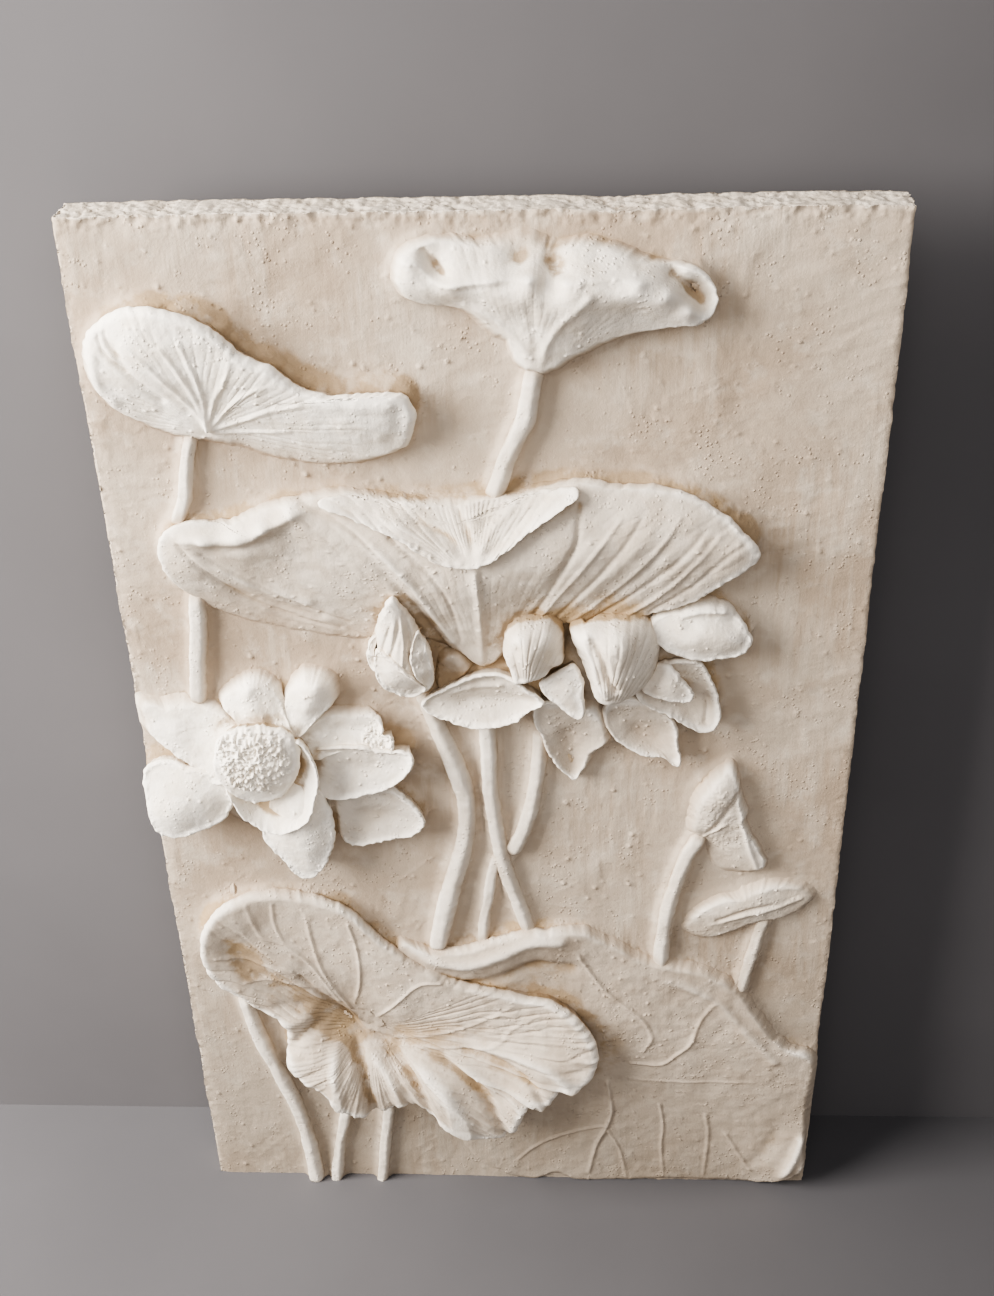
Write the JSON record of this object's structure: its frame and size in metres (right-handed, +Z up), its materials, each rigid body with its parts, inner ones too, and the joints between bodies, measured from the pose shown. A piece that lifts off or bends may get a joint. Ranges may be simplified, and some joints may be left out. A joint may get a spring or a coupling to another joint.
{
  "type": "carved wall panel",
  "caption": "Upright plaster wall panel with lotus leaves, open flowers, buds and stems in high relief on a thick rectangular slab with a flat back.",
  "frame": {"origin": "centre of the flat back face", "axes": "+X to the viewer's right, +Y out of the back towards the wall, -Y towards the viewer, +Z up along the panel's height"},
  "size_m": [0.6, 0.084, 1],
  "materials": {
    "plaster": "matt"
  },
  "bodies": {
    "root": {"lotus_panel": "plaster"}
  },
  "joints": []
}
